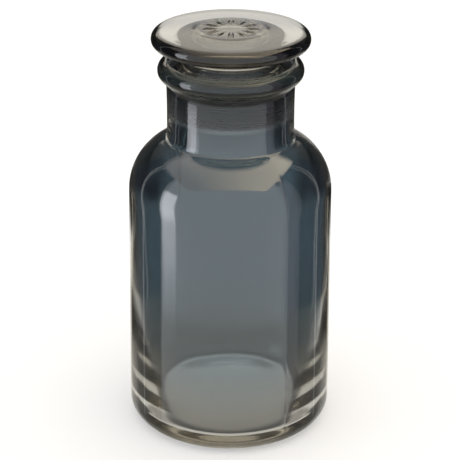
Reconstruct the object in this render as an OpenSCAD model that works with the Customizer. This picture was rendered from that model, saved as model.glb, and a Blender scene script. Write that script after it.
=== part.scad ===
// Apothecary jar: a wide-mouth glass jar closed by a hollow ground-glass stopper.
// The jar stands on the XY plane with its axis on Z. All sizes are in millimetres.

/* [Jar body] */
// Outer diameter of the body just under the shoulder
body_d = 68; // [66:0.5:71]
// Growth of that diameter towards the foot, the draft of the mould
body_draft = 1.4; // [0:0.1:2]
// Height at which the side ends and the shoulder begins
shoulder_z = 83.6; // [74:0.2:84]
// Radius of the rounded shoulder
shoulder_r = 20; // [19:0.1:21]
// Radius of the rounded heel, where the side meets the base
heel_r = 6.2; // [5:0.1:7]
// Thickness of the side wall
wall = 1.8; // [1.5:0.1:2.2]

/* [Jar base] */
// Height of the inside floor above the table
floor_z = 4.6; // [4:0.1:6]
// Radius of the corner between the inside floor and the side
floor_corner_r = 2.2; // [1.5:0.1:3.5]
// Height below which the side wall thickens towards the base
thickening_z = 50; // [44:1:56]
// Radius, in section, of the curve along which the wall thickens
thickening_r = 230; // [200:5:400]
// Radius of the hollow under the base, inside the standing ring
punt_r = 26.8; // [24:0.1:27]
// Depth of the hollow under the base
punt_depth = 1.6; // [0.8:0.1:2]

/* [Jar neck] */
// Outer radius of the neck
neck_r = 21; // [21:0.05:21.5]
// Radius of the blend between shoulder and neck
neck_blend_r = 1.5; // [0.8:0.1:2]
// Height of the middle of the rolled lip
lip_z = 125.4; // [124.8:0.1:126]
// Outer radius of the rolled lip
lip_r = 24.1; // [23.8:0.1:24.6]
// Radius of the lip's round section
lip_round = 3.4; // [3.2:0.02:3.6]

/* [Ground joint] */
// Radius of the stopper's ground plug at its top
plug_top_r = 19.7; // [19.6:0.05:19.8]
// Height of the top of the ground plug
plug_top_z = 124.4; // [124:0.1:124.8]
// Length of the ground plug
plug_length = 13.6; // [11:0.2:14]
// Taper of the joint, as the change in diameter for each unit of length
joint_taper = 0.1; // [0.05:0.01:0.1]
// Clearance between the ground faces on the radius
joint_clearance = 0.05; // [0.02:0.01:0.09]

/* [Stopper] */
// Radius of the stopper's disc
disc_r = 26.1; // [25.6:0.1:27]
// Height of the middle of the disc
disc_z = 136; // [135.6:0.1:137]
// Thickness of the disc, rounded all along its edge
disc_thickness = 5.3; // [5:0.1:5.6]
// Rise of the disc's top from its edge to its centre
disc_crown = 0.5; // [0.3:0.1:1]
// Radius of the waist between the disc and the plug
waist_r = 15.8; // [15.4:0.1:16.4]
// Thickness of the glass round the hollow of the plug
plug_wall = 2.4; // [2:0.1:2.8]
// Thickness of the glass round the hollow of the waist
waist_wall = 2.6; // [2.2:0.1:3.2]
// Height of the top of the hollow
hollow_top_z = 130.7; // [129.5:0.1:131.5]

/* [Stopper ornament] */
// Radius of the raised ring in the middle of the disc
ring_r = 10.4; // [9.8:0.1:11]
// Width of the raised ring
ring_width = 0.9; // [0.6:0.1:1.4]
// Number of raised bars inside the ring
bar_count = 12; // [8:1:16]
// Height of the ring and the bars above the disc
ornament_rise = 0.45; // [0.3:0.05:0.6]

/* [Hidden] */
$fn = 180;

body_r = body_d / 2;
foot_r = (body_d + body_draft) / 2;
shoulder_centre_r = body_r - shoulder_r;
inner_shoulder_r = shoulder_r - wall;

// Inside of the neck
joint_foot_z = plug_top_z - plug_length;
joint_slope = joint_taper / 2;
plug_foot_r = plug_top_r - plug_length * joint_slope;
bore_top_r = plug_top_r + joint_clearance;
bore_foot_r = plug_foot_r + joint_clearance;
mouth_flare = 0.8;
mouth_top_z = lip_z + lip_round;

// Rolled lip and the blend under it
lip_centre_r = lip_r - lip_round;
lip_blend_r = 1;

// Stopper
disc_round = disc_thickness / 2;
disc_top_z = disc_z + disc_round;
disc_under_z = disc_z - disc_round;
disc_flat_r = disc_r - disc_round;
waist_blend_r = 1.5;
waist_foot_z = plug_top_z + 2.4;
plug_foot_chamfer = 0.6;
hollow_corner_r = 2.5;
hollow_waist_r = waist_r - waist_wall;
hollow_plug_r = plug_foot_r - plug_wall;
hollow_step_z = plug_top_z - 2.5;

// Ornament, which is sunk a little way into the crowned disc
ornament_top_z = disc_top_z + disc_crown + ornament_rise;
ornament_sink = 1.2;
bar_middle_r = 6.9;
bar_length = 2.6;
bar_width = 1.1;

// Radius of a circle with the given chord half-width and rise
function arc_radius(half_width, rise) = (half_width * half_width + rise * rise) / (2 * rise);

// A flat box in the half-plane, from radius 0 to r and from height z0 to z1
module slab(r, z0, z1) {
    translate([0, z0])
        square([r, z1 - z0]);
}

// A round disc in the half-plane, with its centre at radius r and height z
module round_at(r, z, radius) {
    translate([r, z])
        circle(radius);
}

// Fills the corner where a cylinder of radius tube_r stands on a round of radius arc_r
module standing_blend(centre_r, centre_z, arc_r, tube_r, blend_r) {
    fill_r = tube_r + blend_r;
    reach = arc_r + blend_r;
    fill_z = centre_z + sqrt(reach * reach - (fill_r - centre_r) * (fill_r - centre_r));
    touch_share = arc_r / reach;
    touch_r = centre_r + (fill_r - centre_r) * touch_share;
    touch_z = centre_z + (fill_z - centre_z) * touch_share;
    difference() {
        polygon([[centre_r, centre_z], [touch_r, touch_z], [fill_r, fill_z], [tube_r, fill_z]]);
        round_at(fill_r, fill_z, blend_r);
    }
}

// Fills the corner under a ledge at height ledge_z that stands out from a cylinder of radius tube_r
module ledge_blend(tube_r, ledge_z, blend_r) {
    difference() {
        translate([tube_r - blend_r, ledge_z - blend_r])
            square([2 * blend_r, 2 * blend_r]);
        round_at(tube_r + blend_r, ledge_z - blend_r, blend_r);
    }
}

// Section of the jar as if it were solid
module jar_outside() {
    slab(foot_r - heel_r, 0, shoulder_z);
    polygon([[0, heel_r], [foot_r, heel_r], [body_r, shoulder_z], [0, shoulder_z]]);
    round_at(foot_r - heel_r, heel_r, heel_r);
    slab(shoulder_centre_r, 0, shoulder_z + shoulder_r);
    round_at(shoulder_centre_r, shoulder_z, shoulder_r);
    standing_blend(shoulder_centre_r, shoulder_z, shoulder_r, neck_r, neck_blend_r);
    slab(neck_r, shoulder_z, lip_z);
    translate([0, 2 * lip_z])
        mirror([0, 1])
            standing_blend(lip_centre_r, lip_z, lip_round, neck_r, lip_blend_r);
    slab(lip_centre_r, lip_z, lip_z + lip_round);
    round_at(lip_centre_r, lip_z, lip_round);
}

// Section of the space inside the jar
module jar_inside() {
    inner_r = body_r - wall;
    corner_z = floor_z + floor_corner_r;
    corner_top_r = inner_r - thickening_r * (1 - cos(asin((thickening_z - corner_z) / thickening_r)));
    slab(inner_r, thickening_z, shoulder_z);
    intersection() {
        slab(inner_r, corner_z, thickening_z);
        round_at(inner_r - thickening_r, thickening_z, thickening_r);
    }
    slab(corner_top_r - floor_corner_r, floor_z, corner_z);
    round_at(corner_top_r - floor_corner_r, corner_z, floor_corner_r);
    slab(shoulder_centre_r, floor_z, shoulder_z + inner_shoulder_r);
    round_at(shoulder_centre_r, shoulder_z, inner_shoulder_r);
    standing_blend(shoulder_centre_r, shoulder_z, inner_shoulder_r, bore_foot_r, neck_blend_r + wall);
    slab(bore_foot_r, shoulder_z, joint_foot_z + joint_clearance);
    polygon([
        [0, joint_foot_z],
        [bore_foot_r, joint_foot_z],
        [bore_top_r, plug_top_z],
        [bore_top_r + mouth_flare, mouth_top_z],
        [bore_top_r + mouth_flare, mouth_top_z + wall],
        [0, mouth_top_z + wall],
    ]);
}

// Section of the shallow hollow under the base
module punt() {
    dome_r = arc_radius(punt_r, punt_depth);
    intersection() {
        round_at(0, punt_depth - dome_r, dome_r);
        slab(punt_r + wall, -wall, floor_z);
    }
}

// Keeps the part of a section on the positive side of the axis
module half_section() {
    intersection() {
        children();
        slab(2 * body_r, -body_r, 2 * disc_z);
    }
}

// The glass jar: body, shoulder, neck and rolled lip in one piece
module jar_body() {
    color([0.42, 0.5, 0.55, 0.5])
        rotate_extrude()
            half_section()
                difference() {
                    jar_outside();
                    jar_inside();
                    punt();
                }
}

// Section of the stopper as if it were solid
module stopper_outside() {
    crown_r = arc_radius(disc_flat_r, disc_crown);
    slab(disc_flat_r, disc_under_z, disc_top_z);
    round_at(disc_flat_r, disc_z, disc_round);
    intersection() {
        round_at(0, disc_top_z + disc_crown - crown_r, crown_r);
        slab(disc_flat_r, disc_z, disc_top_z + disc_crown);
    }
    slab(waist_r, plug_top_z, disc_z);
    ledge_blend(waist_r, disc_under_z, waist_blend_r);
    polygon([
        [0, joint_foot_z],
        [plug_foot_r - plug_foot_chamfer, joint_foot_z],
        [plug_foot_r + plug_foot_chamfer * joint_slope, joint_foot_z + plug_foot_chamfer],
        [plug_top_r, plug_top_z],
        [waist_r, waist_foot_z],
        [0, waist_foot_z],
    ]);
}

// Section of the hollow of the stopper, open at the foot of the plug
module stopper_inside() {
    slab(hollow_plug_r, joint_foot_z - wall, hollow_step_z);
    polygon([
        [0, hollow_step_z],
        [hollow_plug_r, hollow_step_z],
        [hollow_waist_r, waist_foot_z],
        [0, waist_foot_z],
    ]);
    slab(hollow_waist_r, waist_foot_z - wall, hollow_top_z - hollow_corner_r);
    slab(hollow_waist_r - hollow_corner_r, waist_foot_z, hollow_top_z);
    round_at(hollow_waist_r - hollow_corner_r, hollow_top_z - hollow_corner_r, hollow_corner_r);
}

// Outline of one raised bar, lying along a radius and rounded at both ends
module bar_outline() {
    square([bar_length, bar_width], center = true);
    for (end = [-1, 1])
        translate([end * bar_length / 2, 0])
            circle(bar_width / 2, $fn = 24);
}

// The ornament on the disc: a raised ring with a wreath of short bars inside it
module ornament() {
    translate([0, 0, ornament_top_z - ornament_sink])
        linear_extrude(ornament_sink) {
            difference() {
                circle(ring_r + ring_width / 2);
                circle(ring_r - ring_width / 2);
            }
            for (i = [0 : bar_count - 1])
                rotate(360 * i / bar_count)
                    translate([bar_middle_r, 0])
                        bar_outline();
        }
}

// The stopper: disc, waist and hollow ground plug in one piece
module stopper() {
    color([0.55, 0.54, 0.52, 0.6]) {
        rotate_extrude()
            half_section()
                difference() {
                    stopper_outside();
                    stopper_inside();
                }
        ornament();
    }
}

jar_body();
stopper();
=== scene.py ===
import math

import bpy
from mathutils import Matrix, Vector, noise


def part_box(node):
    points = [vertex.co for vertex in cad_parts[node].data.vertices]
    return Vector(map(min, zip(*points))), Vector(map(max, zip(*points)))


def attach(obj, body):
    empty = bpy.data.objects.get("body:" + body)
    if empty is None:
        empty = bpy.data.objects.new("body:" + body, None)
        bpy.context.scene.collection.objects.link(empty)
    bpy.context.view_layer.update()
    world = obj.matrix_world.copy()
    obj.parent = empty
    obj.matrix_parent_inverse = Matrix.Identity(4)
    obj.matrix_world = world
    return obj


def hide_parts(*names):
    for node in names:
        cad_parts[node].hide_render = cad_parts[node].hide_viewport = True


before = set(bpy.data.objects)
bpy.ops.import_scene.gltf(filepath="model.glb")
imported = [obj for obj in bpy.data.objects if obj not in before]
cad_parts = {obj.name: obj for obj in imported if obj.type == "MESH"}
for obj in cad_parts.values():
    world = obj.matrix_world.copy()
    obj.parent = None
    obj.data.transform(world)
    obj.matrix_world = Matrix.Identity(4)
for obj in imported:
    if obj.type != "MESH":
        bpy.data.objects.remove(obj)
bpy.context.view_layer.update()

MM = 0.001
_, JAR_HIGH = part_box("jar_body")
STOPPER_LOW, STOPPER_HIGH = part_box("stopper")

# Jar, in metres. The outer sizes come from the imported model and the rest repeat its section.
FOOT_R = JAR_HIGH[0]
MOUTH_Z = JAR_HIGH[2]
BODY_DRAFT = 0.7 * MM
BODY_R = FOOT_R - BODY_DRAFT
WALL = 1.8 * MM
HEEL_R = 6.2 * MM
SHOULDER_Z = 83.6 * MM
SHOULDER_R = 20 * MM
NECK_R = 21 * MM
NECK_BLEND_R = 1.5 * MM
LIP_ROUND = 3.4 * MM
LIP_Z = MOUTH_Z - LIP_ROUND
LIP_R = 24.1 * MM
LIP_BLEND_R = 1 * MM
FLOOR_Z = 4.6 * MM
FLOOR_CORNER_R = 2.2 * MM
THICKENING_R = 230 * MM
THICKENING_Z = 50 * MM
# Width of the floor's band by the inside corner that carries near-black painted shade
CORNER_SHADE_WIDTH = 0.9 * MM
PUNT_R = 26.8 * MM
PUNT_DEPTH = 1.6 * MM

# Ground joint
PLUG_TOP_R = 19.7 * MM
PLUG_TOP_Z = 124.4 * MM
PLUG_FOOT_Z = STOPPER_LOW[2]
JOINT_SLOPE = 0.05
PLUG_FOOT_R = PLUG_TOP_R - (PLUG_TOP_Z - PLUG_FOOT_Z) * JOINT_SLOPE
CLEARANCE = 0.05 * MM
MOUTH_FLARE = 0.8 * MM
MOUTH_DIP = 0.4 * MM

# Stopper
DISC_R = STOPPER_HIGH[0]
DISC_Z = 136 * MM
DISC_ROUND = 2.65 * MM
DISC_CROWN = 0.5 * MM
WAIST_R = 15.8 * MM
WAIST_BLEND_R = 1.5 * MM
WAIST_CONE = 2.4 * MM
WAIST_FOOT_Z = PLUG_TOP_Z + WAIST_CONE
PLUG_FOOT_CHAMFER = 0.6 * MM
PLUG_WALL = 2.4 * MM
WAIST_WALL = 2.6 * MM
HOLLOW_STEP_Z = PLUG_TOP_Z - 2.5 * MM
HOLLOW_TOP_Z = 130.7 * MM
HOLLOW_CORNER_R = 2.5 * MM
RING_R = 10.4 * MM
RING_WIDTH = 0.9 * MM
BAR_COUNT = 12
BAR_MIDDLE_R = 6.9 * MM
BAR_LENGTH = 2.6 * MM
BAR_WIDTH = 1.1 * MM
ORNAMENT_EDGE = 0.3 * MM
ORNAMENT_RISE = STOPPER_HIGH[2] - (DISC_Z + DISC_ROUND + DISC_CROWN)

# Mesh fineness
STEP = 0.3 * MM
SAME_POINT = 0.2 * STEP
MELTING_PASSES = 4
LONGEST_STEP = 1.2 * MM
LARGEST_TURN = math.radians(5)
TURNS_ROUND = 180

# Mould seams: two thin ridges on the jar, half a turn apart
SEAM_ANGLE = math.radians(-90 + 33.5)
SEAM_HALF_WIDTH = 0.35 * MM
SEAM_RISE = 0.05 * MM
SEAM_FOOT = (1 * MM, 3 * MM)
SEAM_TOP = (LIP_Z, LIP_Z + 2 * MM)

# Slow waves of pressed glass on the inside of the jar. They fade out at the foot of the bore.
WAVE_SIZE = 14 * MM
WAVE_DEPTH = 0.1 * MM
WAVE_UPRIGHT = 0.6
RIPPLE_SIZE = 5 * MM
RIPPLE_DEPTH = 0.03 * MM
RIPPLE_UPRIGHT = 0.25
RIPPLE_OFFSET = 0.1
WAVES_END = (108 * MM, 112 * MM)
CALM_MIDDLE_R = 8 * MM


# ---------------------------------------------------------------- sections
def line(r0, z0, r1, z1):
    """Points along a straight stretch of a section."""
    count = max(1, round(math.hypot(r1 - r0, z1 - z0) / STEP))
    return [(r0 + (r1 - r0) * i / count, z0 + (z1 - z0) * i / count) for i in range(count + 1)]


def arc(centre_r, centre_z, radius, start, end):
    """Points along a round stretch of a section, from start to end in degrees from the outward direction."""
    count = max(4, round(radius * math.radians(abs(end - start)) / STEP))
    points = []
    for i in range(count + 1):
        a = math.radians(start + (end - start) * i / count)
        points.append((centre_r + radius * math.cos(a), centre_z + radius * math.sin(a)))
    return points


def blend_angle(arc_centre_r, arc_r, tube_r, blend_r):
    """Angle, in degrees, at which a round of radius arc_r passes into a blend that ends on a tube."""
    return math.degrees(math.acos((tube_r + blend_r - arc_centre_r) / (arc_r + blend_r)))


def shoulder_and_blend(centre_r, radius, tube_r, blend_r):
    """The shoulder's arc and the blend from it into the neck, from the side upwards."""
    a = blend_angle(centre_r, radius, tube_r, blend_r)
    reach = radius + blend_r
    fill_r = tube_r + blend_r
    fill_z = SHOULDER_Z + reach * math.sin(math.radians(a))
    return arc(centre_r, SHOULDER_Z, radius, 0, a) + arc(fill_r, fill_z, blend_r, 180 + a, 180)


def lip_and_blend():
    """The blend under the lip and the lip's round, from the neck up to the top of the lip."""
    centre_r = LIP_R - LIP_ROUND
    a = blend_angle(centre_r, LIP_ROUND, NECK_R, LIP_BLEND_R)
    reach = LIP_ROUND + LIP_BLEND_R
    fill_z = LIP_Z - reach * math.sin(math.radians(a))
    under = arc(NECK_R + LIP_BLEND_R, fill_z, LIP_BLEND_R, 180, 180 - a)
    return under + arc(centre_r, LIP_Z, LIP_ROUND, -a, 90)


def dome(half_width, rise, top_z):
    """Points of a shallow dome, from its edge up to the axis."""
    radius = (half_width ** 2 + rise ** 2) / (2 * rise)
    half_angle = math.degrees(math.asin(half_width / radius))
    return arc(0, top_z - radius, radius, 90 - half_angle, 90)


def jar_stretches():
    """The jar's section from under the base, up the outside and down the inside to the floor.

    Each stretch is (points, coating, ground, matt), with shares from 0 to 1. The second share lays on the
    smoke tint together with its painted shade.
    """
    centre_r = BODY_R - SHOULDER_R
    inner_r = BODY_R - WALL
    corner_z = FLOOR_Z + FLOOR_CORNER_R
    thickening_angle = math.asin((THICKENING_Z - corner_z) / THICKENING_R)
    corner_top_r = inner_r - THICKENING_R * (1 - math.cos(thickening_angle))
    bore_foot_r = PLUG_FOOT_R + CLEARANCE
    bore_top_r = PLUG_TOP_R + CLEARANCE
    under = dome(PUNT_R, PUNT_DEPTH, PUNT_DEPTH)[::-1]
    under += line(PUNT_R, 0, FOOT_R - HEEL_R, 0)
    outside = arc(FOOT_R - HEEL_R, HEEL_R, HEEL_R, -90, 0)
    outside += line(FOOT_R, HEEL_R, BODY_R, SHOULDER_Z)
    outside += shoulder_and_blend(centre_r, SHOULDER_R, NECK_R, NECK_BLEND_R)
    lip = lip_and_blend()
    lip += line(LIP_R - LIP_ROUND, MOUTH_Z, bore_top_r + MOUTH_FLARE, MOUTH_Z - MOUTH_DIP)
    mouth = line(bore_top_r + MOUTH_FLARE, MOUTH_Z - MOUTH_DIP, bore_top_r, PLUG_TOP_Z)
    bore = line(bore_top_r, PLUG_TOP_Z, bore_foot_r, PLUG_FOOT_Z)
    inner_shoulder = shoulder_and_blend(centre_r, SHOULDER_R - WALL, bore_foot_r, NECK_BLEND_R + WALL)
    inside = line(bore_foot_r, PLUG_FOOT_Z - STEP, bore_foot_r, inner_shoulder[-1][1]) + inner_shoulder[::-1]
    inside += line(inner_r, SHOULDER_Z, inner_r, THICKENING_Z)
    taper = arc(inner_r - THICKENING_R, THICKENING_Z, THICKENING_R, 0, -math.degrees(thickening_angle))
    corner = arc(corner_top_r - FLOOR_CORNER_R, corner_z, FLOOR_CORNER_R, 0, -90)
    # A narrow band of the floor by the corner is coated, and there the coating is near-black painted shade
    corner_shade_edge_r = corner_top_r - FLOOR_CORNER_R - CORNER_SHADE_WIDTH
    corner += line(corner_top_r - FLOOR_CORNER_R, FLOOR_Z, corner_shade_edge_r, FLOOR_Z)
    floor = line(corner_shade_edge_r, FLOOR_Z, 0, FLOOR_Z)
    return [
        (under, 0, 0, 1),
        (outside, 0, 0, 0),
        # The lip's outside is coated too, which darkens it as painted shade
        (lip, 0.95, 0, 0),
        (mouth, 0, 1, 0),
        (bore, 0, 1, 0),
        (inside, 1, 0, 0),
        (taper, 1, 0, 0.8),
        (corner, 1, 0, 0.2),
        (floor, 0, 0, 0),
    ]


def stopper_stretches():
    """The stopper's section from the top of the disc, down the outside and up into the hollow.

    Each stretch is (points, coating, ground, matt), with shares from 0 to 1.
    """
    disc_flat_r = DISC_R - DISC_ROUND
    under_z = DISC_Z - DISC_ROUND
    hollow_waist_r = WAIST_R - WAIST_WALL
    hollow_plug_r = PLUG_FOOT_R - PLUG_WALL
    corner_z = HOLLOW_TOP_Z - HOLLOW_CORNER_R
    chamfer_z = PLUG_FOOT_Z + PLUG_FOOT_CHAMFER
    disc = dome(disc_flat_r, DISC_CROWN, DISC_Z + DISC_ROUND + DISC_CROWN)[::-1]
    disc += arc(disc_flat_r, DISC_Z, DISC_ROUND, 90, -90)
    disc += line(disc_flat_r, under_z, WAIST_R + WAIST_BLEND_R, under_z)
    disc += arc(WAIST_R + WAIST_BLEND_R, under_z - WAIST_BLEND_R, WAIST_BLEND_R, 90, 180)
    disc += line(WAIST_R, under_z - WAIST_BLEND_R, WAIST_R, WAIST_FOOT_Z)
    disc += line(WAIST_R, WAIST_FOOT_Z, PLUG_TOP_R, PLUG_TOP_Z)
    plug = line(PLUG_TOP_R, PLUG_TOP_Z, PLUG_FOOT_R + PLUG_FOOT_CHAMFER * JOINT_SLOPE, chamfer_z)
    foot = line(PLUG_FOOT_R, chamfer_z, PLUG_FOOT_R - PLUG_FOOT_CHAMFER, PLUG_FOOT_Z)
    foot += line(PLUG_FOOT_R - PLUG_FOOT_CHAMFER, PLUG_FOOT_Z, hollow_plug_r, PLUG_FOOT_Z)
    hollow = line(hollow_plug_r, PLUG_FOOT_Z, hollow_plug_r, HOLLOW_STEP_Z)
    hollow += line(hollow_plug_r, HOLLOW_STEP_Z, hollow_waist_r, WAIST_FOOT_Z)
    hollow += line(hollow_waist_r, WAIST_FOOT_Z, hollow_waist_r, corner_z)
    hollow += arc(hollow_waist_r - HOLLOW_CORNER_R, corner_z, HOLLOW_CORNER_R, 0, 90)
    hollow += line(hollow_waist_r - HOLLOW_CORNER_R, HOLLOW_TOP_Z, 0, HOLLOW_TOP_Z)
    return [(disc, 0, 0, 0), (plug, 0, 1, 0), (foot, 0, 0, 0), (hollow, 0, 0, 0)]


def joined(stretches):
    """One list of [r, z, coating, ground, matt] from a section's stretches, without repeated points."""
    rows = []
    for points, tint_and_painted_shade, ground, matt in stretches:
        for r, z in points:
            if rows and math.hypot(r - rows[-1][0], z - rows[-1][1]) < SAME_POINT:
                continue
            rows.append([r, z, tint_and_painted_shade, ground, matt])
    rows[0][0] = 0
    rows[-1][0] = 0
    return rows


def melted(rows, passes):
    """Rounds every sharp corner of a section a little, as melted glass is, and softens where zones meet."""
    for _ in range(passes):
        softer = [rows[0][:]]
        for before, here, after in zip(rows, rows[1:], rows[2:]):
            softer.append([(a + 2 * b + c) / 4 for a, b, c in zip(before, here, after)])
        softer.append(rows[-1][:])
        softer[0][1] = softer[1][1]
        softer[-1][1] = softer[-2][1]
        rows = softer
    return rows


def away(angle, other):
    """How far apart two angles are, the short way round."""
    return abs((angle - other + math.pi) % (2 * math.pi) - math.pi)


def thinned(rows):
    """Leaves out the points that a smooth section doesn't need."""
    kept = [rows[0]]
    turned = 0
    for before, here, after in zip(rows, rows[1:], rows[2:]):
        heading_in = math.atan2(here[1] - before[1], here[0] - before[0])
        heading_out = math.atan2(after[1] - here[1], after[0] - here[0])
        turned += away(heading_out, heading_in)
        far = math.hypot(here[0] - kept[-1][0], here[1] - kept[-1][1])
        if far >= LONGEST_STEP or turned >= LARGEST_TURN:
            kept.append(here)
            turned = 0
    kept.append(rows[-1])
    return kept


def finished(stretches):
    """The rows of a section, ready to be turned."""
    return thinned(melted(joined(stretches), MELTING_PASSES))


# ---------------------------------------------------------------- turned glass meshes
def smooth_step(x, low, high):
    """0 below low, 1 above high and a smooth rise between them."""
    t = min(max((x - low) / (high - low), 0), 1)
    return t * t * (3 - 2 * t)


def even_angles():
    """Even steps round a piece."""
    return [2 * math.pi * i / TURNS_ROUND for i in range(TURNS_ROUND)]


def seam_angles():
    """Even steps round the jar, with narrow steps added where the two seams run."""
    step = 2 * math.pi / TURNS_ROUND
    half_width = SEAM_HALF_WIDTH / FOOT_R
    closest = 0.4 * step
    angles = set()
    for seam in (SEAM_ANGLE, SEAM_ANGLE + math.pi):
        for share in (-1.5, -1, -0.5, 0, 0.5, 1, 1.5):
            angles.add((seam + share * half_width) % (2 * math.pi))
    for angle in even_angles():
        if min(away(angle, other) for other in angles) > closest:
            angles.add(angle)
    return sorted(angles)


def turned_faces(ring_count, count):
    """Faces of a closed turned mesh: a fan at each end on the axis, and quads between the rings."""
    last = 1 + ring_count * count
    faces = []
    for k in range(count):
        after = (k + 1) % count
        faces.append((0, 1 + after, 1 + k))
        for ring in range(ring_count - 1):
            a = 1 + ring * count
            b = a + count
            faces.append((a + k, a + after, b + after, b + k))
        a = last - count
        faces.append((a + k, a + after, last))
    return faces


def add_share(mesh, name, rows, column, count):
    """Stores one column of the rows as a point attribute, which the material reads."""
    values = [rows[0][column]]
    for row in rows[1:-1]:
        values += [row[column]] * count
    values.append(rows[-1][column])
    layer = mesh.attributes.new(name, "FLOAT", "POINT")
    layer.data.foreach_set("value", values)


def turned_glass(name, rows, angles, shift):
    """A closed mesh turned from a section. shift(row, angle) places each point."""
    points = [shift(rows[0], 0)]
    for row in rows[1:-1]:
        points += [shift(row, angle) for angle in angles]
    points.append(shift(rows[-1], 0))
    count = len(angles)
    mesh = bpy.data.meshes.new(name)
    mesh.from_pydata(points, [], turned_faces(len(rows) - 2, count))
    mesh.validate()
    for column, share in enumerate(("tint_and_painted_shade", "ground", "matt"), start=2):
        add_share(mesh, share, rows, column, count)
    mesh.shade_smooth()
    piece = bpy.data.objects.new(name, mesh)
    bpy.context.scene.collection.objects.link(piece)
    return piece


def on_circle(r, z, angle):
    """The point at a radius, a height and an angle."""
    return (r * math.cos(angle), r * math.sin(angle), z)


def waves(x, y, z):
    """How far the waves move the inside of the jar outwards at a point."""
    wave = noise.noise(Vector((x, y, WAVE_UPRIGHT * z)) / WAVE_SIZE) * WAVE_DEPTH
    ripple = noise.noise(Vector((x + RIPPLE_OFFSET, y, RIPPLE_UPRIGHT * z)) / RIPPLE_SIZE) * RIPPLE_DEPTH
    return (wave + ripple) * (1 - smooth_step(z, *WAVES_END))


def seam_rise(r, z, angle):
    """How far the two seams stand out from the jar at a point."""
    side = smooth_step(z, *SEAM_FOOT) * (1 - smooth_step(z, *SEAM_TOP))
    rise = 0
    for seam in (SEAM_ANGLE, SEAM_ANGLE + math.pi):
        rise += 1 - smooth_step(away(angle, seam) * r, 0, 1.5 * SEAM_HALF_WIDTH)
    return SEAM_RISE * side * rise


def jar_shift(row, angle):
    """Adds the waves to the inside of the jar and the seams to its outside."""
    r, z, inside, ground, _ = row
    x, y, _ = on_circle(r, z, angle)
    moved = inside * waves(x, y, z)
    if not inside and not ground and r > FOOT_R / 2:
        moved += seam_rise(r, z, angle)
    return on_circle(r + moved * smooth_step(r, 0, CALM_MIDDLE_R), z, angle)


def raised(off, width):
    """1 on a bar of the ornament and 0 beside it, by the distance from its middle line."""
    return 1 - smooth_step(off, (width - ORNAMENT_EDGE) / 2, width / 2 + ORNAMENT_EDGE)


def ornament_height(r, angle):
    """Height of the raised ring and the wreath of bars above the disc, at a radius and an angle."""
    pitch = 2 * math.pi / BAR_COUNT
    across = (angle + pitch / 2) % pitch - pitch / 2
    along = max(abs(r * math.cos(across) - BAR_MIDDLE_R) - BAR_LENGTH / 2, 0)
    off_bar = math.hypot(along, r * math.sin(across))
    return ORNAMENT_RISE * max(raised(abs(r - RING_R), RING_WIDTH), raised(off_bar, BAR_WIDTH))


def stopper_shift(row, angle):
    """Raises the ornament on top of the disc and leaves the rest as turned."""
    r, z = row[:2]
    if z > DISC_Z + DISC_ROUND:
        z += ornament_height(r, angle)
    return on_circle(r, z, angle)


# ---------------------------------------------------------------- nodes
def node_of(tree, kind, inputs=None, **settings):
    """Adds a node with the given input values and settings."""
    node = tree.nodes.new(kind)
    for key, value in settings.items():
        setattr(node, key, value)
    for key, value in (inputs or {}).items():
        node.inputs[key].default_value = value
    return node


def attribute_of(tree, name):
    """The socket of a point attribute."""
    return node_of(tree, "ShaderNodeAttribute", attribute_name=name).outputs["Fac"]


def mixed(tree, factor, low, high):
    """Mixes two colours by a linked factor and returns the colour's socket."""
    node = node_of(tree, "ShaderNodeMix", data_type="RGBA")
    tree.links.new(factor, node.inputs["Factor"])
    for socket, value in ((node.inputs["A"], low), (node.inputs["B"], high)):
        if isinstance(value, tuple):
            socket.default_value = value
        else:
            tree.links.new(value, socket)
    return node.outputs["Result"]


def combined(tree, operation, first, second):
    """The socket of a sum, product or the like of two sockets."""
    node = node_of(tree, "ShaderNodeMath", operation=operation)
    tree.links.new(first, node.inputs[0])
    tree.links.new(second, node.inputs[1])
    return node.outputs[0]


def scaled(tree, value, factor):
    """The socket of a linked value times a plain number."""
    node = node_of(tree, "ShaderNodeMath", {1: factor}, operation="MULTIPLY")
    tree.links.new(value, node.inputs[0])
    return node.outputs[0]


def ranged(tree, value, low, high, out_low, out_high):
    """Carries a value smoothly from out_low, at low, to out_high, at high."""
    node = node_of(
        tree, "ShaderNodeMapRange",
        {"From Min": low, "From Max": high, "To Min": out_low, "To Max": out_high},
        interpolation_type="SMOOTHSTEP",
    )
    tree.links.new(value, node.inputs["Value"])
    return node.outputs["Result"]


def height_ramp(tree, height, stops):
    """Colour by height: stops are (height in metres, colour), and the last of them is the full height."""
    ramp = node_of(tree, "ShaderNodeValToRGB")
    share = node_of(tree, "ShaderNodeMapRange", {"From Max": stops[-1][0]})
    tree.links.new(height, share.inputs["Value"])
    tree.links.new(share.outputs["Result"], ramp.inputs["Fac"])
    elements = ramp.color_ramp.elements
    for rise, _ in stops[1:-1]:
        elements.new(rise / stops[-1][0])
    for element, (_, colour) in zip(elements, stops):
        element.color = colour
    return ramp.outputs["Color"]


# ---------------------------------------------------------------- materials
GLASS_IOR = 1.52
CLEAR = (0.97, 0.97, 0.97, 1)
BLUE = (0.056, 0.088, 0.108, 1)
# Greyer tint low on the jar: partly the smoke's own tint, partly painted shade of the jar's shadow on the
# table below
LOW_TINT_AND_PAINTED_SHADE = (0.090, 0.086, 0.074, 1)
# Near-black painted shade where the floor meets the wall inside the jar
CORNER_PAINTED_SHADE = (0.01, 0.01, 0.008, 1)
# The lip's tint: the smoke's tint, made darker as painted shade
LIP_TINT_AND_PAINTED_SHADE = (0.05, 0.08, 0.08, 1)
# Dark grey painted shade on the ground faces between the neck and the plug
GROUND_PAINTED_SHADE = (0.17, 0.17, 0.185, 1)

SMOKE = (0.23, 0.20, 0.10, 1)
JAR_SMOKE_DENSITY = 26.0
STOPPER_SMOKE_DENSITY = 93.0

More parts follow.
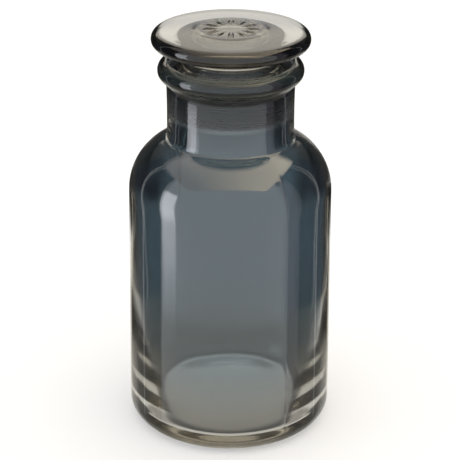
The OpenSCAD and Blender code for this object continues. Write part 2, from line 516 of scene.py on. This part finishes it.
GROUND_ROUGHNESS = (0.26, 0.31)
MATT_ROUGHNESS = 0.08
COATING_ROUGHNESS = 0.025
GRINDING_SCALE = (60, 60, 2600)  # fine rings round the ground faces
GRINDING_CONTRAST = (0.3, 0.7)

# The tint by height: near-black painted shade in the floor's corner, greyer low down where the smoke tint is
# mixed with painted shade of the jar's shadow, then the blue smoke tint, then the lip, darkened as painted
# shade
JAR_TINT_AND_PAINTED_SHADE = [
    (0, CORNER_PAINTED_SHADE),
    (FLOOR_Z + 0.3 * MM, CORNER_PAINTED_SHADE),
    (FLOOR_Z + 0.6 * MM, LOW_TINT_AND_PAINTED_SHADE),
    (12 * MM, LOW_TINT_AND_PAINTED_SHADE),
    (34 * MM, BLUE),
    (108 * MM, BLUE),
    (120 * MM, LIP_TINT_AND_PAINTED_SHADE),
    (MOUTH_Z, LIP_TINT_AND_PAINTED_SHADE),
]
NO_COATING = [(0, CLEAR), (STOPPER_HIGH[2], CLEAR)]


def glass_colour(tree, place, tint_and_painted_shade):
    """Clear glass, with the smoke tint by height on the tinted faces, including painted shade low down, in
    the floor's corner and on the lip, and dark grey painted shade where it is ground.
    """
    height = node_of(tree, "ShaderNodeSeparateXYZ")
    tree.links.new(place, height.inputs[0])
    # The height ramp gives the smoke tint and the painted shade
    tint_and_shade_zone = height_ramp(tree, height.outputs["Z"], tint_and_painted_shade)
    colour = mixed(tree, attribute_of(tree, "tint_and_painted_shade"), CLEAR, tint_and_shade_zone)
    return mixed(tree, attribute_of(tree, "ground"), colour, GROUND_PAINTED_SHADE)


def glass_roughness(tree, place):
    """Brushed frost on the ground faces, and a little roughness on the matt and coated ones."""
    grinding = node_of(tree, "ShaderNodeTexNoise", {"Scale": 1.0, "Detail": 3.0, "Roughness": 0.6})
    stretch = node_of(tree, "ShaderNodeMapping", {"Scale": GRINDING_SCALE})
    tree.links.new(place, stretch.inputs["Vector"])
    tree.links.new(stretch.outputs["Vector"], grinding.inputs["Vector"])
    frost = ranged(tree, grinding.outputs["Fac"], *GRINDING_CONTRAST, *GROUND_ROUGHNESS)
    ground = combined(tree, "MULTIPLY", attribute_of(tree, "ground"), frost)
    matt = scaled(tree, attribute_of(tree, "matt"), MATT_ROUGHNESS)
    tint_and_shade_zone = scaled(tree, attribute_of(tree, "tint_and_painted_shade"), COATING_ROUGHNESS)
    return combined(tree, "ADD", combined(tree, "ADD", ground, matt), tint_and_shade_zone)


def glass_material(name, tint_and_painted_shade, smoke_density):
    """Smoked glass: a tinted, partly rough surface with painted shade in places, and smoke that tints by
    depth.
    """
    material = bpy.data.materials.new(name)
    material.use_nodes = True
    tree = material.node_tree
    tree.nodes.clear()
    place = node_of(tree, "ShaderNodeTexCoord").outputs["Object"]
    shader = node_of(tree, "ShaderNodeBsdfPrincipled", {"IOR": GLASS_IOR, "Transmission Weight": 1.0})
    volume = node_of(tree, "ShaderNodeVolumeAbsorption", {"Color": SMOKE, "Density": smoke_density})
    output = node_of(tree, "ShaderNodeOutputMaterial")
    tree.links.new(glass_colour(tree, place, tint_and_painted_shade), shader.inputs["Base Color"])
    tree.links.new(glass_roughness(tree, place), shader.inputs["Roughness"])
    tree.links.new(shader.outputs[0], output.inputs["Surface"])
    tree.links.new(volume.outputs[0], output.inputs["Volume"])
    return material


# ---------------------------------------------------------------- pieces
def make_jar():
    """The jar, which stays still."""
    jar = turned_glass("jar_body_glass", finished(jar_stretches()), seam_angles(), jar_shift)
    jar.data.materials.append(glass_material("jar_smoked_glass", JAR_TINT_AND_PAINTED_SHADE, JAR_SMOKE_DENSITY))
    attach(jar, "jar")
    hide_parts("jar_body")


def make_stopper():
    """The stopper, whose section runs the other way round and is turned over so that its faces look out."""
    rows = finished(stopper_stretches())[::-1]
    stopper = turned_glass("stopper_glass", rows, even_angles(), stopper_shift)
    stopper.data.materials.append(glass_material("stopper_smoked_glass", NO_COATING, STOPPER_SMOKE_DENSITY))
    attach(stopper, "stopper")
    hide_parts("stopper")


# ---------------------------------------------------------------- studio
FLOOR_REACH = 4.0
FLOOR_DROP = 0.02 * MM
PAPER = (0.72, 0.72, 0.72, 1)
PAPER_ROUGHNESS = 0.9
PAPER_GLOW = 0.28


def paper_material():
    """Pale matt paper with a faint glow of its own."""
    material = bpy.data.materials.new("studio_paper")
    material.use_nodes = True
    shader = material.node_tree.nodes["Principled BSDF"]
    shader.inputs["Base Color"].default_value = PAPER
    shader.inputs["Roughness"].default_value = PAPER_ROUGHNESS
    shader.inputs["Specular IOR Level"].default_value = 0
    shader.inputs["Emission Color"].default_value = (1, 1, 1, 1)
    shader.inputs["Emission Strength"].default_value = PAPER_GLOW
    return material


def make_floor():
    """A plain floor. The glass doesn't reflect or refract it: it sees the studio's low zones instead."""
    mesh = bpy.data.meshes.new("studio_floor")
    corners = [(-1, -1), (1, -1), (1, 1), (-1, 1)]
    points = [(x * FLOOR_REACH, y * FLOOR_REACH, -FLOOR_DROP) for x, y in corners]
    mesh.from_pydata(points, [], [(0, 1, 2, 3)])
    mesh.materials.append(paper_material())
    floor = bpy.data.objects.new("studio_floor", mesh)
    bpy.context.scene.collection.objects.link(floor)
    floor.visible_glossy = False
    floor.visible_transmission = False


# The glass reflects and refracts a studio whose tones vary with direction. They were tuned to the
# photograph, so this isn't a plain soft light. The camera and matt surfaces see plain white.
STUDIO_FULL = 5.0  # the radiance that the brightest ramp colour stands for

DARK = (0.03, 0.03, 0.03)
DIM = (0.06, 0.07, 0.09)
LOW_DIM = (0.38, 0.36, 0.32)
LOW_SIDE = (0.62, 0.59, 0.52)
HIGH_SIDE = (0.12, 0.12, 0.12)
HIGH_BACK = (1.6, 1.5, 1.32)
BACK = (0.88, 0.87, 0.85)
BACK_EDGE = (0.9, 0.83, 0.66)
STRIP = (4.4, 4.5, 4.8)
SLIT = (1.2, 1.2, 1.2)
SIDE_BOX = (0.45, 0.42, 0.5)
FRONT = (1.2, 1.25, 1.3)
OVERHEAD_LEFT = (1.0, 0.9, 0.85)
OVERHEAD_RIGHT = (2.9, 2.5, 1.9)
UNDER = (0.82, 0.81, 0.76)
DEEP = (0.6, 0.58, 0.52)

# Directions round the jar, in degrees from the camera's side. Each pair is a fade, from and to.
FRONT_TO_BOX = (66, 68)
BOX_TO_SIDE = (84, 86)
FRONT_TO_SIDE_LEFT = (83, 86)  # the left side's directions are below zero, so this one is mirrored
SLIT_START = (115, 116)
SLIT_END = (117, 118)
SIDE_TO_CORNER = (130, 138)
WIDE_BACK = 166
NARROW_BACK = 177
BACK_FADE = 6
STRIP_START = (-84, -82)
STRIP_END = (-65, -63)
UNDER_LEFT = (-138, -128)
UNDER_RIGHT = (122, 132)

# Heights of the studio's zones, as the sine of the angle above the horizon. Each pair is a fade too.
ABOVE_TABLE = (-0.466, -0.448)
BEHIND_NECK = (-0.41, -0.38)
ABOVE_JAR = (0.26, 0.32)
STRIP_FOOT = (-0.46, -0.34)
STRIP_TOP = (0.25, 0.35)
BELOW_JAR = (-0.53, -0.455)
DEEP_DOWN = (-0.72, -0.66)
OVERHEAD_FROM = (0.1, 0.2)

# Sides of the overhead panel, in units of its height above the jar. Each pair is a fade too.
PANEL_LEFT = (-1.4, -1.1)
PANEL_RIGHT = (0.95, 1.05)
PANEL_NEAR = (-0.95, -0.85)
PANEL_FAR = (0.6, 0.8)
PANEL_SHADE = (-1.0, 0.9)


def share_of_full(tone):
    """A tone as a colour that the studio's strength brings back to its radiance."""
    return tuple(part / STUDIO_FULL for part in tone) + (1,)


def azimuth_ramp(tree, azimuth, stops):
    """Studio brightness by direction round the jar: stops are (degrees from the camera's side, tone)."""
    ramp = node_of(tree, "ShaderNodeValToRGB")
    share = node_of(tree, "ShaderNodeMapRange", {"From Min": -math.pi, "From Max": math.pi})
    tree.links.new(azimuth, share.inputs["Value"])
    tree.links.new(share.outputs["Result"], ramp.inputs["Fac"])
    elements = ramp.color_ramp.elements
    for degrees, _ in stops[1:-1]:
        elements.new(degrees / 360 + 0.5)
    for element, (_, tone) in zip(elements, stops):
        element.color = share_of_full(tone)
    return ramp.outputs["Color"]


def rising(tree, value, fade):
    """A mask that is 0 before a fade and 1 after it."""
    return ranged(tree, value, *fade, 0, 1)


def falling(tree, value, fade):
    """A mask that is 1 before a fade and 0 after it."""
    return ranged(tree, value, *fade, 1, 0)


def overlap(tree, masks):
    """The mask where all the masks meet."""
    shared = masks[0]
    for mask in masks[1:]:
        shared = combined(tree, "MULTIPLY", shared, mask)
    return shared


def in_radians(fade):
    """A fade given in degrees, in radians."""
    return tuple(math.radians(degrees) for degrees in fade)


def walls(tree, azimuth, side, corner, back, back_edge, back_from):
    """One height zone of the studio: front, sides with a slit, corners and back, in tones."""
    half = [
        (SLIT_START[0], side), (SLIT_START[1], SLIT), (SLIT_END[0], SLIT), (SLIT_END[1], side),
        (SIDE_TO_CORNER[0], side), (SIDE_TO_CORNER[1], corner),
        (back_from - 2 * BACK_FADE, corner), (back_from - BACK_FADE, back_edge),
        (back_from, back), (180, back),
    ]
    left = [(-degrees, tone) for degrees, tone in reversed(half)]
    left += [(-FRONT_TO_SIDE_LEFT[1], side), (-FRONT_TO_SIDE_LEFT[0], FRONT)]
    right = [(FRONT_TO_BOX[0], FRONT), (FRONT_TO_BOX[1], SIDE_BOX)]
    right += [(BOX_TO_SIDE[0], SIDE_BOX), (BOX_TO_SIDE[1], side)]
    return azimuth_ramp(tree, azimuth, left + right + half)


def room(tree, azimuth, height):
    """The studio's walls, from the table's level up to above the jar."""
    low = walls(tree, azimuth, LOW_DIM, LOW_SIDE, BACK, BACK_EDGE, WIDE_BACK)
    middle = walls(tree, azimuth, DIM, DARK, BACK, BACK_EDGE, WIDE_BACK)
    behind_neck = walls(tree, azimuth, DIM, DARK, BACK, DARK, NARROW_BACK)
    high = walls(tree, azimuth, DIM, HIGH_SIDE, HIGH_BACK, HIGH_BACK, WIDE_BACK)
    studio = mixed(tree, rising(tree, height, ABOVE_TABLE), low, middle)
    studio = mixed(tree, rising(tree, height, BEHIND_NECK), studio, behind_neck)
    return mixed(tree, rising(tree, height, ABOVE_JAR), studio, high)


def with_strip(tree, studio, azimuth, height):
    """Adds the upright strip light on the left."""
    strip = overlap(tree, [
        rising(tree, azimuth, in_radians(STRIP_START)),
        falling(tree, azimuth, in_radians(STRIP_END)),
        rising(tree, height, STRIP_FOOT),
        falling(tree, height, STRIP_TOP),
    ])
    return mixed(tree, strip, studio, share_of_full(STRIP))


def with_table(tree, studio, azimuth, height):
    """Adds what the glass sees below it in place of the floor."""
    table = azimuth_ramp(tree, azimuth, [
        (-180, UNDER), (UNDER_LEFT[0], UNDER), (UNDER_LEFT[1], LOW_DIM),
        (UNDER_RIGHT[0], LOW_DIM), (UNDER_RIGHT[1], UNDER), (180, UNDER),
    ])
    studio = mixed(tree, falling(tree, height, BELOW_JAR), studio, table)
    return mixed(tree, falling(tree, height, DEEP_DOWN), studio, share_of_full(DEEP))


def with_overhead(tree, studio, x, y, z):
    """Adds the panel above the jar, brighter towards its right."""
    across = combined(tree, "DIVIDE", x, z)
    along = combined(tree, "DIVIDE", y, z)
    overhead = overlap(tree, [
        rising(tree, across, PANEL_LEFT),
        falling(tree, across, PANEL_RIGHT),
        rising(tree, along, PANEL_NEAR),
        falling(tree, along, PANEL_FAR),
        rising(tree, z, OVERHEAD_FROM),
    ])
    shade = rising(tree, across, PANEL_SHADE)
    panel = mixed(tree, shade, share_of_full(OVERHEAD_LEFT), share_of_full(OVERHEAD_RIGHT))
    return mixed(tree, overhead, studio, panel)


def light_of(tree, studio):
    """The studio for reflected and refracted rays, and plain white for camera and diffuse rays."""
    rays = node_of(tree, "ShaderNodeLightPath")
    plain = combined(tree, "MAXIMUM", rays.outputs["Is Camera Ray"], rays.outputs["Is Diffuse Ray"])
    paper = node_of(tree, "ShaderNodeBackground", {"Color": (1, 1, 1, 1), "Strength": 1.0})
    lit = node_of(tree, "ShaderNodeBackground", {"Strength": STUDIO_FULL})
    tree.links.new(studio, lit.inputs["Color"])
    choice = node_of(tree, "ShaderNodeMixShader")
    tree.links.new(plain, choice.inputs[0])
    tree.links.new(lit.outputs[0], choice.inputs[1])
    tree.links.new(paper.outputs[0], choice.inputs[2])
    return choice.outputs[0]


def make_world():
    """The studio, as a world whose light varies with direction and with the kind of ray."""
    world = bpy.data.worlds.new("studio")
    bpy.context.scene.world = world
    world.use_nodes = True
    tree = world.node_tree
    tree.nodes.clear()
    way = node_of(tree, "ShaderNodeSeparateXYZ")
    tree.links.new(node_of(tree, "ShaderNodeTexCoord").outputs["Generated"], way.inputs[0])
    x, y, z = way.outputs
    azimuth = combined(tree, "ARCTAN2", x, scaled(tree, y, -1))
    studio = room(tree, azimuth, z)
    studio = with_strip(tree, studio, azimuth, z)
    studio = with_table(tree, studio, azimuth, z)
    studio = with_overhead(tree, studio, x, y, z)
    output = node_of(tree, "ShaderNodeOutputWorld")
    tree.links.new(light_of(tree, studio), output.inputs["Surface"])


# ---------------------------------------------------------------- camera and rendering
CAMERA_DISTANCE = 544.0 * MM
CAMERA_HEIGHT = 308.5 * MM
CAMERA_PITCH = math.radians(23.86)
CAMERA_ROLL = math.radians(0.3)
CAMERA_LENS = 136.9
SENSOR_WIDTH = 36
CLIP_NEAR = 0.01
CLIP_FAR = 50


def make_camera():
    """A camera at the photograph's viewing angle."""
    data = bpy.data.cameras.new("camera")
    data.lens = CAMERA_LENS
    data.sensor_width = SENSOR_WIDTH
    data.clip_start = CLIP_NEAR
    data.clip_end = CLIP_FAR
    camera = bpy.data.objects.new("camera", data)
    camera.location = (0, -CAMERA_DISTANCE, CAMERA_HEIGHT)
    camera.rotation_euler = (math.pi / 2 - CAMERA_PITCH, 0, 0)
    camera.rotation_euler.rotate_axis("Z", CAMERA_ROLL)
    bpy.context.scene.collection.objects.link(camera)
    bpy.context.scene.camera = camera


def set_rendering():
    """Plain colours, and enough bounces for light to pass through both walls and the stopper."""
    scene = bpy.context.scene
    scene.view_settings.view_transform = "Standard"
    scene.view_settings.look = "None"
    scene.cycles.max_bounces = 40
    scene.cycles.transmission_bounces = 36
    scene.cycles.glossy_bounces = 24
    scene.cycles.diffuse_bounces = 3
    scene.cycles.caustics_reflective = True
    scene.cycles.caustics_refractive = True
    scene.cycles.sample_clamp_indirect = 8
    scene.cycles.use_denoising = True


make_jar()
make_stopper()
make_floor()
make_world()
make_camera()
set_rendering()
